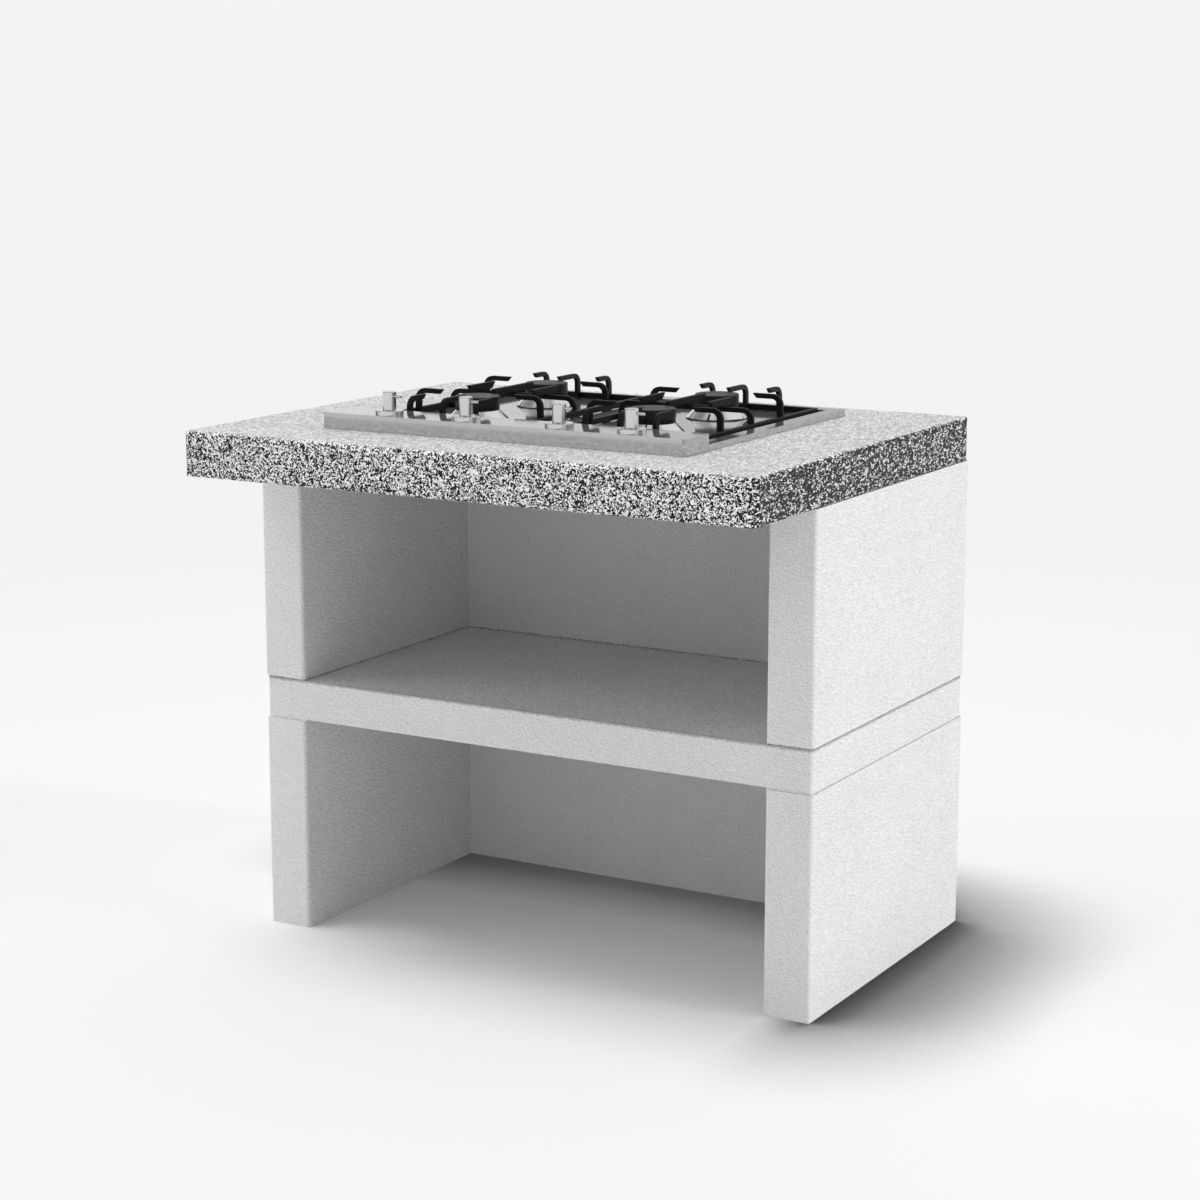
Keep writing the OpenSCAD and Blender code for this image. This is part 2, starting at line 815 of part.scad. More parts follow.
// Round pin that the hand turns the knob by
module knob_lever(i) {
  edge = 0.5;
  start = knob_r - lever_hole + run_gap;
  color("white")
    translate([knob_xs[i] + start, knob_y, knob_top_z - lever_drop])
      rotate([0, 90, 0])
        rotate_extrude()
          polygon([
            [0, 0], [lever_r, 0], [lever_r, lever_reach - start - edge],
            [lever_r - edge, lever_reach - start], [0, lever_reach - start]
          ]);
}

module knob_bezels() {
  edge = 0.6;
  color("silver")
    for (x = knob_xs)
      translate([x, knob_y, top_z + strip_h])
        rotate_extrude()
          polygon([
            [knob_r + slide_gap, 0], [bezel_r, 0], [bezel_r, bezel_h - edge],
            [bezel_r - edge, bezel_h], [knob_r + slide_gap, bezel_h]
          ]);
}

// Tubes from the taps to the injector holders
module feed_tubes() {
  color("lightblue")
    for (i = [0 : 3]) {
      spot = burner_spots[i];
      side = spot.x < knob_xs[i] ? 1 : -1;
      start = [knob_xs[i], outlet_y + seat_gap, outlet_z];
      bend = [knob_xs[i], block_back_y + tube_bend, outlet_z];
      low = [knob_xs[i], block_back_y + tube_drop, injector_z];
      beside = [spot.x + side * tube_side, spot.y - tube_join, injector_z];
      turn = [spot.x + side * tube_side, spot.y, injector_z];
      end = [spot.x + side * (holder_r + seat_gap), spot.y, injector_z];
      if (spot.y < support_y)
        run_along([start, bend, low, turn, end], feed_r);
      else
        run_along([start, bend, low, beside, turn, end], feed_r);
    }
}

// Injector holder at the foot, air windows, mixing tube, flange under the sheet, chamber
module burner_bodies() {
  color("darkgray")
    for (spot = burner_spots)
      translate([spot.x, spot.y, 0])
        difference() {
          union() {
            translate([0, 0, holder_z])
              cylinder(h = window_z - holder_z + window_h + over, r = holder_r);
            translate([0, 0, window_z + window_h])
              cylinder(h = body_top_z - window_z - window_h, r = cup_r);
            translate([0, 0, field_under_z - seat_gap - flange_t])
              cylinder(h = flange_t, r = flange_r);
          }
          for (turn = [0, 90])
            rotate([0, 0, turn + 45])
              translate([-holder_r - over, -window_w / 2, window_z])
                cube([2 * (holder_r + over), window_w, window_h]);
          translate([0, 0, holder_z - over])
            cylinder(h = injector_seat_z - holder_z + over, r = injector_r + run_gap);
          translate([0, 0, injector_seat_z]) cylinder(h = body_top_z, r = neck_r);
          translate([0, 0, body_top_z - chamber_h])
            cylinder(h = chamber_h + over, r = chamber_r);
          for (turn = [0, 180])
            rotate([0, 0, turn])
              translate([body_screw_at, 0, field_under_z - flange_t - over])
                cylinder(h = flange_t + 2 * over, r = body_screw_r + run_gap);
        }
}

module burner_screws() {
  head_r = body_screw_r + body_screw_head_lip;
  color("silver")
    for (spot = burner_spots, turn = [0, 180])
      translate([spot.x, spot.y, field_z])
        rotate([0, 0, turn])
          translate([body_screw_at, 0, 0])
            mirror([0, 0, 1])
              plain_screw(body_screw_r, sheet_t + flange_t, head_r, body_screw_head_h);
}

module injectors() {
  nut_h = 5;
  nut_r = neck_r - 0.6;
  duct_r = 1.5;
  jet_r = 0.5;
  color("gold")
    for (spot = burner_spots)
      translate([spot.x, spot.y, 0])
        difference() {
          union() {
            translate([0, 0, holder_z])
              cylinder(h = injector_seat_z - holder_z, r = injector_r);
            translate([0, 0, injector_seat_z]) cylinder(h = nut_h, r = nut_r, $fn = 6);
          }
          translate([0, 0, holder_z - over])
            cylinder(h = injector_seat_z + nut_h / 2 - holder_z + over, r = duct_r);
          translate([0, 0, injector_z])
            cylinder(h = injector_seat_z + nut_h - injector_z + over, r = jet_r);
        }
}

// Flat black rings under the skirts
module skirt_seals() {
  color("black")
    for (spot = burner_spots)
      translate([spot.x, spot.y, field_z])
        difference() {
          cylinder(h = skirt_seal_h, r = skirt_r - skirt_lip_w);
          translate([0, 0, -over])
            cylinder(h = skirt_seal_h + 2 * over, r = skirt_r - skirt_seal_w);
        }
}

// Polished flared rings round the burner bodies
module burner_skirts() {
  color("gainsboro")
    for (spot = burner_spots)
      difference() {
        translate([spot.x, spot.y, field_z])
          rotate_extrude()
            polygon([
              [skirt_r - skirt_t - skirt_lip_w, skirt_seal_h], [skirt_r, skirt_seal_h],
              [skirt_r, skirt_seal_h + skirt_lip_h],
              [crown_r, skirt_h - seat_gap], [crown_r - skirt_t, skirt_h - seat_gap]
            ]);
        electrode_place(spot)
          translate([0, 0, field_z - over])
            cylinder(h = skirt_h + 2 * over, r = electrode_r + slide_gap);
      }
}

module burner_crown(i) {
  spot = burner_spots[i];
  color("dimgray")
    translate([spot.x, spot.y, body_top_z])
      difference() {
        union() {
          cylinder(h = crown_h, r = crown_r);
          translate([0, 0, -spigot_h]) cylinder(h = spigot_h + over, r = chamber_r - slide_gap);
        }
        translate([0, 0, -spigot_h - over])
          cylinder(h = spigot_h + crown_h + 2 * over, r = crown_bore_r);
        for (k = [0 : slot_count - 1])
          rotate([0, 0, (k + 0.5) * 360 / slot_count])
            translate([crown_bore_r - over, -slot_w / 2, slot_floor])
              cube([crown_r, slot_w, crown_h - slot_floor - slot_roof]);
      }
}

// Thick round cap with a locating lip in the crown
module burner_cap(i) {
  spot = burner_spots[i];
  edge = 1.5;
  lip_r = crown_bore_r - slide_gap;
  lid_t = 5;
  hollow = cap_h - lid_t;
  color("black")
    translate([spot.x, spot.y, crown_top_z])
      rotate_extrude() {
        polygon([
          [0, hollow], [lip_r - lip_wall, hollow], [lip_r - lip_wall, -lip_h], [lip_r, -lip_h],
          [lip_r, 0], [cap_r, 0], [cap_r, cap_h - edge], [cap_r - edge, cap_h - edge],
          [cap_r - edge, cap_h], [0, cap_h]
        ]);
        translate([cap_r - edge, cap_h - edge]) circle(edge);
      }
}

module electrode_place(spot) {
  translate([spot.x, spot.y, 0])
    rotate([0, 0, electrode_turn])
      translate([electrode_at, 0, 0])
        children();
}

// Ceramic rods with a steel pin that ends beside the flame slots
module electrodes() {
  collar_top_z = field_under_z - seat_gap;
  rod_top_z = body_top_z - slot_floor;
  color("ivory")
    for (spot = burner_spots)
      electrode_place(spot) {
        translate([0, 0, electrode_foot_z])
          cylinder(h = rod_top_z - electrode_foot_z, r = electrode_r);
        translate([0, 0, collar_top_z - electrode_collar_h])
          cylinder(h = electrode_collar_h, r = electrode_collar_r);
        translate([0, 0, rod_top_z - over]) cylinder(h = spark_h + over, r = spark_r);
      }
}

module ignition_module() {
  color("darkslategray")
    translate([0, module_y, box_floor_z + module_size.z / 2])
      cube(module_size, center = true);
}

// Leads from the electrodes, along the floor of the box
module ignition_leads() {
  color("firebrick")
    for (i = [0 : 3]) {
      spot = burner_spots[i];
      side = spot.x < 0 ? -1 : 1;
      back = spot.y > module_y ? 1 : -1;
      foot_x = spot.x + electrode_at * cos(electrode_turn);
      foot_y = spot.y + electrode_at * sin(electrode_turn);
      end_x = side * (module_size.x / 2 + seat_gap);
      end_y = module_y + back * lead_row;
      run_along([
        [foot_x, foot_y, electrode_foot_z - seat_gap], [foot_x, foot_y, lead_z],
        [end_x + side * lead_gap, end_y, lead_z], [end_x, end_y, lead_z]
      ], lead_r);
    }
}

// Side view of a bent finger: its leg stands at 0, is notched over the rail behind it
// and turns into an arm with a slanted tip
module finger_outline(reach, foot, top) {
  lap = rail_w - leg_inset;
  difference() {
    union() {
      translate([0, foot]) square([leg_w, top - foot]);
      polygon([
        [0, top - arm_h], [reach - arm_h * tip_slant, top - arm_h], [reach, top], [0, top]
      ]);
      difference() {
        translate([leg_w, top - arm_h - inner_bend_r]) square(inner_bend_r);
        translate([leg_w + inner_bend_r, top - arm_h - inner_bend_r]) circle(inner_bend_r);
      }
    }
    difference() {
      translate([-over, top - bend_r]) square(bend_r + over);
      translate([bend_r, top - bend_r]) circle(bend_r);
    }
    translate([lap - rail_w, foot - over]) square([rail_w, rail_h + over]);
  }
}

module finger(reach, top) {
  rotate([90, 0, 0])
    translate([0, 0, -bar_t / 2])
      linear_extrude(bar_t) finger_outline(reach, rail_z, top);
}

// A bar that lies across the middle, with both tips slanted
module double_finger(reach) {
  rotate([90, 0, 90])
    translate([0, 0, -bar_t / 2])
      linear_extrude(bar_t)
        polygon([
          [-reach, arm_top_z], [-reach + cross_drop * tip_slant, cross_top_z],
          [reach - cross_drop * tip_slant, cross_top_z], [reach, arm_top_z]
        ]);
}

// Frame of low rails, and the straight bars that lie on the crossbar
module pan_support(side) {
  color("black")
    translate([side * burner_x, support_y, 0]) {
      translate([0, 0, rail_z])
        linear_extrude(rail_h)
          difference() {
            round_rect(support_w, support_d, rail_w);
            square([support_w - 2 * rail_w, support_d - 2 * rail_w], center = true);
          }
      for (x = [-1, 0, 1])
        translate([x * finger_pitch, 0, 0])
          double_finger(finger_row - (x == 0 ? long_tip : short_tip));
    }
}

// Bent bars round the frame, with the crossbar in its middle
module support_fingers(side) {
  leg_x = support_w / 2 - leg_inset;
  leg_y = support_d / 2 - leg_inset;
  long_reach = leg_y - finger_row - long_tip;
  short_reach = leg_y - finger_row - short_tip;
  color("black")
    translate([side * burner_x, support_y, 0])
      for (turn = [0, 180])
        rotate([0, 0, turn]) {
          for (y = [-finger_row, finger_row])
            translate([-leg_x, y, 0]) finger(leg_x - side_tip, arm_top_z);
          translate([-leg_x, 0, 0]) finger(leg_x + 2 * bar_t, cross_top_z);
          for (x = [-1, 0, 1])
            translate([x * finger_pitch, -leg_y, 0])
              rotate([0, 0, 90])
                finger(x == 0 ? long_reach : short_reach, arm_top_z);
        }
}

module support_feet(side) {
  color("darkslategray")
    for (x = [-1, 1], y = [-1, 1])
      translate([
        side * burner_x + x * (support_w / 2 - foot_r), support_y + y * (support_d / 2 - foot_r),
        field_z
      ])
        cylinder(h = foot_h, r = foot_r);
}

lower_unit();
lower_joint();
shelf_slab();
upper_joint();
upper_unit();
worktop();
hob_seal();
hob_top();
burner_box();
box_screws();
hob_clamps();
clamp_screws();
gas_manifold();
manifold_brackets();
inlet_elbow();
gas_taps();
feed_tubes();
injectors();
burner_bodies();
burner_screws();
skirt_seals();
burner_skirts();
electrodes();
ignition_module();
ignition_leads();
knob_bezels();
tap_spring(0);  // tap_spring_front_left
tap_spring(1);  // tap_spring_back_left
tap_spring(2);  // tap_spring_back_right
tap_spring(3);  // tap_spring_front_right
tap_plunger(0);  // tap_plunger_front_left
tap_plunger(1);  // tap_plunger_back_left
tap_plunger(2);  // tap_plunger_back_right
tap_plunger(3);  // tap_plunger_front_right
tap_spindle(0);  // tap_spindle_front_left
tap_spindle(1);  // tap_spindle_back_left
tap_spindle(2);  // tap_spindle_back_right
tap_spindle(3);  // tap_spindle_front_right
knob(0);  // knob_front_left
knob(1);  // knob_back_left
knob(2);  // knob_back_right
knob(3);  // knob_front_right
knob_lever(0);  // knob_lever_front_left
knob_lever(1);  // knob_lever_back_left
knob_lever(2);  // knob_lever_back_right
knob_lever(3);  // knob_lever_front_right
burner_crown(0);  // burner_crown_front_left
burner_crown(1);  // burner_crown_back_left
burner_crown(2);  // burner_crown_back_right
burner_crown(3);  // burner_crown_front_right
burner_cap(0);  // burner_cap_front_left
burner_cap(1);  // burner_cap_back_left
burner_cap(2);  // burner_cap_back_right
burner_cap(3);  // burner_cap_front_right
pan_support(-1);  // pan_support_left
pan_support(1);  // pan_support_right
support_fingers(-1);  // support_fingers_left
support_fingers(1);  // support_fingers_right
support_feet(-1);  // support_feet_left
support_feet(1);  // support_feet_right
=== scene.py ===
"""Outdoor kitchen burner module: materials, floor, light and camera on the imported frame."""
import json
import math
import bpy
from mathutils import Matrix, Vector


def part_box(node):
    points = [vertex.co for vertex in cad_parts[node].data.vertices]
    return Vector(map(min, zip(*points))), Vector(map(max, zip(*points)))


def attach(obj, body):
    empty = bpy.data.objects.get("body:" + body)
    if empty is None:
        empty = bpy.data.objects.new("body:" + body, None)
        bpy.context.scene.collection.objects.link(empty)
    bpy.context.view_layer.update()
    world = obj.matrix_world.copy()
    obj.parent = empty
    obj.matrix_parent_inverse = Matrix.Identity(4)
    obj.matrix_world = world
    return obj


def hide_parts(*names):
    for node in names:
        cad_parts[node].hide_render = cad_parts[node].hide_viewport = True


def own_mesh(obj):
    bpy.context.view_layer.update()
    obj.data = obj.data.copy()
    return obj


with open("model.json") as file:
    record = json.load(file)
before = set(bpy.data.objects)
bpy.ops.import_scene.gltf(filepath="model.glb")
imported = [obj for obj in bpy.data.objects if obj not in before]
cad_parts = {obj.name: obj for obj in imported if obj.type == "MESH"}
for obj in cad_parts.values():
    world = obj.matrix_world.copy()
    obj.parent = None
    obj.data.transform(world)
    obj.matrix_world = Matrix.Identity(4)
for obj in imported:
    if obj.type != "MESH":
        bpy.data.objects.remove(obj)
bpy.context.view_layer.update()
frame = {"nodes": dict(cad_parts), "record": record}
scene = bpy.context.scene

# Node graphs


class Graph:
    """A small builder for the nodes of one material or world. Lengths are in metres, and the scale
    of a noise is the number of its grains in a metre."""

    def __init__(self, owner, output, coords):
        owner.use_nodes = True
        self.owner = owner
        self.tree = owner.node_tree
        self.tree.nodes.clear()
        self.surface = self.add(output).inputs["Surface"]
        self.coords = self.add("ShaderNodeTexCoord").outputs[coords]

    def add(self, kind, **settings):
        node = self.tree.nodes.new(kind)
        for key, value in settings.items():
            setattr(node, key, value)
        return node

    def put(self, value, socket):
        """Links a socket to another, or sets its value. A colour gets its alpha."""
        if isinstance(value, bpy.types.NodeSocket):
            self.tree.links.new(value, socket)
        elif isinstance(value, tuple) and len(value) == 3 and socket.type == "RGBA":
            socket.default_value = (*value, 1.0)
        else:
            socket.default_value = value

    def axes(self, vector=None):
        """X, Y and Z of a vector, or else of the place in the part's frame."""
        node = self.add("ShaderNodeSeparateXYZ")
        self.put(vector or self.coords, node.inputs[0])
        return node.outputs["X"], node.outputs["Y"], node.outputs["Z"]

    def scaled(self, x, y, z, moved=(0.0, 0.0, 0.0)):
        node = self.add("ShaderNodeMapping")
        self.put(self.coords, node.inputs["Vector"])
        self.put((x, y, z), node.inputs["Scale"])
        self.put(moved, node.inputs["Location"])
        return node.outputs["Vector"]

    def noise(self, scale, detail, rough=0.55, vector=None, distortion=0.0):
        node = self.add("ShaderNodeTexNoise")
        self.put(vector or self.coords, node.inputs["Vector"])
        self.put(scale, node.inputs["Scale"])
        self.put(detail, node.inputs["Detail"])
        self.put(rough, node.inputs["Roughness"])
        self.put(distortion, node.inputs["Distortion"])
        return node.outputs["Fac"]

    def cells(self, scale, vector):
        node = self.add("ShaderNodeTexVoronoi")
        self.put(vector, node.inputs["Vector"])
        self.put(scale, node.inputs["Scale"])
        return node

    def ramp(self, fac, stops, kind="LINEAR"):
        """Colours or greys along 0 to 1, from stops of (place, colour or grey)."""
        node = self.add("ShaderNodeValToRGB")
        node.color_ramp.interpolation = kind
        points = node.color_ramp.elements
        while len(points) < len(stops):
            points.new(0.5)
        for point, (at, colour) in zip(points, stops):
            point.position = at
            rgb = colour if isinstance(colour, tuple) else (colour,) * 3
            point.color = (*rgb, 1.0)
        self.put(fac, node.inputs["Fac"])
        return node.outputs["Color"]

    def math(self, kind, a, b=0.0):
        node = self.add("ShaderNodeMath", operation=kind)
        self.put(a, node.inputs[0])
        self.put(b, node.inputs[1])
        return node.outputs[0]

    def gap(self, a, b):
        return self.math("ABSOLUTE", self.math("SUBTRACT", a, b))

    def span(self, value, a, b, low, high):
        """Goes from low to high while the value goes from a to b."""
        node = self.add("ShaderNodeMapRange")
        for at, v in enumerate((value, a, b, low, high)):
            self.put(v, node.inputs[at])
        return node.outputs[0]

    def mix(self, fac, a, b, kind="MIX"):
        node = self.add("ShaderNodeMix", data_type="RGBA", blend_type=kind)
        self.put(fac, node.inputs[0])
        self.put(a, node.inputs[6])
        self.put(b, node.inputs[7])
        return node.outputs[2]

    def occlusion(self, reach, power):
        """How open a place is to the air within that reach: 1 in the open, less beside a wall."""
        node = self.add("ShaderNodeAmbientOcclusion", samples=6)
        self.put(reach, node.inputs["Distance"])
        return self.math("POWER", node.outputs["AO"], power)

    def bump(self, height, strength, distance):
        node = self.add("ShaderNodeBump")
        self.put(height, node.inputs["Height"])
        self.put(strength, node.inputs["Strength"])
        self.put(distance, node.inputs["Distance"])
        return node.outputs["Normal"]

    def coat(self, colour, roughness, metallic=0.0, normal=None, specular=0.5):
        shader = self.add("ShaderNodeBsdfPrincipled")
        self.put(colour, shader.inputs["Base Color"])
        self.put(roughness, shader.inputs["Roughness"])
        self.put(metallic, shader.inputs["Metallic"])
        self.put(specular, shader.inputs["Specular IOR Level"])
        if normal:
            self.put(normal, shader.inputs["Normal"])
        return shader.outputs[0]

    def glow(self, kind, colour, strength=1.0):
        shader = self.add(kind)
        self.put(colour, shader.inputs["Color"])
        self.put(strength, shader.inputs["Strength"])
        return shader.outputs[0]

    def blend(self, fac, a, b):
        node = self.add("ShaderNodeMixShader")
        for at, value in enumerate((fac, a, b)):
            self.put(value, node.inputs[at])
        return node.outputs[0]

    def finish(self, shader):
        self.put(shader, self.surface)
        return self.owner


def painted(name):
    return Graph(bpy.data.materials.new(name), "ShaderNodeOutputMaterial", "Object")


def shade(colour, by):
    return tuple(min(1.0, c * by) for c in colour)


# Materials


def plaster(name):
    """Painted render with a leathery ripple, darker and gritty along the slab's upper edge.
    Each ripple's colour carries painted shade: a lighter flank and a shaded one."""
    g = painted(name)

    def ripple(moved):
        return g.noise(400.0, 1.5, 0.5, g.scaled(0.8, 0.38, 1.0, moved), distortion=0.6)

    # Painted ripple shade: the ripple is read a little to either flank, and the difference lightens
    # one flank's colour and darkens the other's.
    flank = (0.00035, 0.00022, 0.00062)
    light, dark = ripple(flank), ripple(tuple(-v for v in flank))
    painted_ripple_shade = g.span(g.math("SUBTRACT", light, dark), -0.35, 0.35, 0.71, 1.13)
    peel = ripple((0.0, 0.0, 0.0))
    grain = g.noise(700.0, 2.0, 0.6)
    pits = g.ramp(grain, [(0.30, 0.96), (0.45, 1.0)])
    cloud = g.noise(5.0, 3.0, 0.6)
    tone = g.ramp(cloud, [(0.3, (0.755, 0.755, 0.758)), (0.7, (0.795, 0.795, 0.797))])

    front_left_bottom, back_right_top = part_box("shelf_slab")
    x, y, z = g.axes()
    to_side = g.gap(g.math("ABSOLUTE", x), back_right_top[0])
    to_rim = g.math("MINIMUM", to_side, g.gap(y, front_left_bottom[1]))
    to_top = g.gap(z, back_right_top[2])
    squares = g.math("ADD", g.math("MULTIPLY", to_rim, to_rim), g.math("MULTIPLY", to_top, to_top))
    crumbs = g.math("MULTIPLY", g.noise(260.0, 2.0, 0.7), 0.0075)
    # A darker, gritty line along the slab's upper edge, broken up by noise.
    slab_edge_line = g.span(g.math("SUBTRACT", g.math("SQRT", squares), crumbs), -0.0018, 0.0, 0.60, 1.0)

    # The colour is multiplied by the grain's pits, the slab's edge line and the painted ripple
    # shade.
    grit_edge_and_painted_shade = g.math("MULTIPLY", slab_edge_line, g.math("MULTIPLY", pits, painted_ripple_shade))
    rough = g.bump(g.math("ADD", peel, g.math("MULTIPLY", grain, 0.10)), 0.8, 0.0012)
    return g.finish(g.coat(g.mix(1.0, tone, grit_edge_and_painted_shade, "MULTIPLY"), 0.78, normal=rough, specular=0.3))


def mortar(name):
    """Sandy mortar: dark and gritty in the joint over the slab. The joint under it gets paler sand,
    painted light that offsets the shade under the slab.
    """
    slab_middle = 0.35
    g = painted(name)
    sand = g.noise(420.0, 3.0, 0.7)
    gritty = g.ramp(sand, [(0.38, (0.16, 0.16, 0.158)), (0.60, (0.66, 0.66, 0.65))])
    painted_light_sand = g.ramp(sand, [(0.38, (0.66, 0.66, 0.65)), (0.60, (0.86, 0.86, 0.85))])
    z = g.axes()[2]
    # Painted light: below the slab's middle the paler sand is used.
    colour = g.mix(g.math("GREATER_THAN", z, slab_middle), painted_light_sand, gritty)
    return g.finish(g.coat(colour, 0.9, normal=g.bump(sand, 0.6, 0.0008)))


def terrazzo(name):
    """Black, grey and white chips of two sizes. The left and right faces get painted shade, with
    more black chips and a darker colour; the top gets a painted sheen, paler and lower in contrast.
    """
    g = painted(name)
    drawn = g.scaled(1.20, 0.54, 1.20)
    blur = g.add("ShaderNodeTexNoise")
    g.put(drawn, blur.inputs["Vector"])
    g.put(300.0, blur.inputs["Scale"])
    warp = g.add("ShaderNodeMix", data_type="VECTOR")
    g.put(0.0018, warp.inputs[0])
    g.put(drawn, warp.inputs[4])
    g.put(blur.outputs["Color"], warp.inputs[5])
    big = g.cells(290.0, warp.outputs[1])
    fine = g.cells(500.0, warp.outputs[1])

    to_right, _, to_sky = g.axes(g.add("ShaderNodeNewGeometry").outputs["Normal"])
    # Painted shade on the left and right faces: it shifts the chips towards black and darkens their
    # colour.
    painted_side_shade = g.span(g.math("ABSOLUTE", to_right), 0.3, 0.8, 0.0, 0.22)
    big_chance = g.axes(big.outputs["Color"])[0]
    fine_chance = g.axes(fine.outputs["Color"])[1]
    chips = g.ramp(g.math("SUBTRACT", big_chance, painted_side_shade), [
        (0.0, (0.008, 0.007, 0.008)), (0.48, (0.05, 0.048, 0.05)), (0.51, (0.34, 0.33, 0.33)),
        (0.55, (0.78, 0.78, 0.78)), (0.78, (0.90, 0.90, 0.90))], "CONSTANT")
    small = g.ramp(g.math("SUBTRACT", fine_chance, painted_side_shade), [
        (0.0, (0.010, 0.009, 0.010)), (0.50, (0.14, 0.135, 0.14)), (0.54, (0.87, 0.87, 0.87))],
        "CONSTANT")
    mask = g.ramp(g.noise(140.0, 2.0), [(0.46, 0.0), (0.50, 1.0)])
    speckle = g.mix(mask, chips, small)
    # Painted sheen on the top: its chips are mixed towards a grey, paler and lower in contrast.
    painted_top_sheen = g.mix(0.46, (0.73, 0.73, 0.73), speckle)
    side_shade_colour = g.mix(g.math("MULTIPLY", painted_side_shade, 0.8), speckle, (0.0, 0.0, 0.0))
    colour = g.mix(g.span(to_sky, 0.72, 0.98, 0.0, 1.0), side_shade_colour, painted_top_sheen)
    grain = g.bump(fine.outputs["Distance"], 0.25, 0.0004)
    return g.finish(g.coat(colour, 0.5, normal=grain, specular=0.2))


def steel(name, tone, low, high, stretch, metallic):
    """Brushed sheet: long fine streaks and a soft cloud of wear. Low and high are its roughness."""
    g = painted(name)
    streaks = g.noise(1.0, 3.0, 0.6, g.scaled(*stretch))
    cloud = g.noise(7.0, 4.0, 0.6)
    level = g.math("ADD", g.math("MULTIPLY", streaks, 0.65), g.math("MULTIPLY", cloud, 0.35))
    colour = g.ramp(level, [(0.35, shade(tone, 0.93)), (0.65, shade(tone, 1.05))])
    rough = g.span(level, 0.3, 0.7, low, high)
    return g.finish(g.coat(colour, rough, metallic, g.bump(streaks, 0.05, 0.0002)))


def turned(name, tone, low, high):
    """Turned or polished metal: fine scratches and a little handling haze."""
    g = painted(name)
    haze = g.noise(60.0, 4.0, 0.65)
    lines = g.noise(1.0, 3.0, 0.6, g.scaled(42.0, 42.0, 1260.0))
    level = g.math("ADD", g.math("MULTIPLY", haze, 0.5), g.math("MULTIPLY", lines, 0.5))
    colour = g.ramp(level, [(0.35, shade(tone, 0.95)), (0.65, tone)])
    rough = g.span(level, 0.3, 0.7, low, high)
    return g.finish(g.coat(colour, rough, 1.0, g.bump(lines, 0.03, 0.0001)))


def enamel(name, tone, low, high, scale, bump):
    """Satin black coating with a fine pebbled surface."""
    g = painted(name)
    pebble = g.noise(scale, 3.0, 0.6)
    cloud = g.noise(30.0, 3.0, 0.6)
    colour = g.ramp(cloud, [(0.3, shade(tone, 0.8)), (0.7, shade(tone, 1.25))])
    rough = g.span(cloud, 0.3, 0.7, low, high)
    return g.finish(g.coat(colour, rough, normal=g.bump(pebble, bump, 0.0004), specular=0.16))


def grained(name, tone, rough, scale, bump, spread=0.15):
    """Rubber, foam, plastic or ceramic: a little colour variation over a fine grain."""
    g = painted(name)
    grain = g.noise(scale, 3.0, 0.6)
    cloud = g.noise(45.0, 3.0, 0.6)
    colour = g.ramp(cloud, [(0.3, shade(tone, 1 - spread)), (0.7, shade(tone, 1 + spread))])
    return g.finish(g.coat(colour, rough, normal=g.bump(grain, bump, 0.0003)))


ALONG_X, ALONG_Y = (9.0, 900.0, 900.0), (900.0, 9.0, 900.0)

# Each slot's finish: its function, then the colour and the other settings that the function takes
finishes = {
    "render_white": (plaster,),
    "mortar": (mortar,),
    "terrazzo": (terrazzo,),
    "foam": (grained, (0.05, 0.05, 0.05), 0.9, 1200.0, 0.5),
    "hob_steel": (steel, (0.50, 0.50, 0.505), 0.05, 0.11, ALONG_X, 0.8),
    "zinc_steel": (steel, (0.56, 0.57, 0.58), 0.30, 0.45, ALONG_Y, 1.0),
    "screw_steel": (turned, (0.62, 0.62, 0.62), 0.25, 0.40),
    "brass": (turned, (0.72, 0.54, 0.26), 0.22, 0.36),
    "tube": (turned, (0.74, 0.75, 0.76), 0.28, 0.42),
    "burner_alloy": (turned, (0.56, 0.56, 0.56), 0.40, 0.55),
    "burner_ring": (enamel, (0.012, 0.012, 0.013), 0.35, 0.48, 900.0, 0.15),
    "polished": (turned, (0.74, 0.74, 0.75), 0.10, 0.18),
    "black_enamel": (enamel, (0.016, 0.016, 0.018), 0.34, 0.46, 600.0, 0.10),
    "black_iron": (enamel, (0.005, 0.005, 0.006), 0.40, 0.52, 450.0, 0.22),
    "foot_rubber": (grained, (0.02, 0.02, 0.02), 0.7, 700.0, 0.2),
    "white_ceramic": (grained, (0.86, 0.84, 0.80), 0.18, 300.0, 0.05, 0.03),
    "module_plastic": (grained, (0.035, 0.035, 0.04), 0.5, 900.0, 0.25),
    "lead_rubber": (grained, (0.50, 0.07, 0.05), 0.45, 500.0, 0.1),
    "spring_steel": (turned, (0.66, 0.66, 0.67), 0.20, 0.30),
    "knob_metal": (turned, (0.64, 0.64, 0.65), 0.10, 0.18),  # darker than the polished skirts
}
materials = {name: make(name, *settings) for name, (make, *settings) in finishes.items()}

# Width of the eased edge of each finish, in metres, where its solids have sharp ones
eased = {
    "render_white": 0.0016, "hob_steel": 0.0005, "black_iron": 0.0007, "burner_ring": 0.0002,
    "zinc_steel": 0.0002, "module_plastic": 0.0008,
}

for entry in frame["record"]["subparts"]:
    obj = frame["nodes"][entry["node"]]
    slot = entry["material_slot"]
    finish = "knob_metal" if entry["node"].startswith("knob") else slot
    obj.data.materials.clear()
    obj.data.materials.append(materials[finish])
    if slot in eased:
        weld = obj.modifiers.new("weld", "WELD")
        weld.merge_threshold = 1e-5
        bevel = obj.modifiers.new("bevel", "BEVEL")
        bevel.width = eased[slot]
        bevel.segments = 2
        bevel.limit_method = "ANGLE"
        bevel.angle_limit = math.radians(50)
        bevel.harden_normals = False
        bevel.use_clamp_overlap = True

# Tap springs: each coil gets its own copy of the imported mesh, held by the base, and the imported
# one is hidden

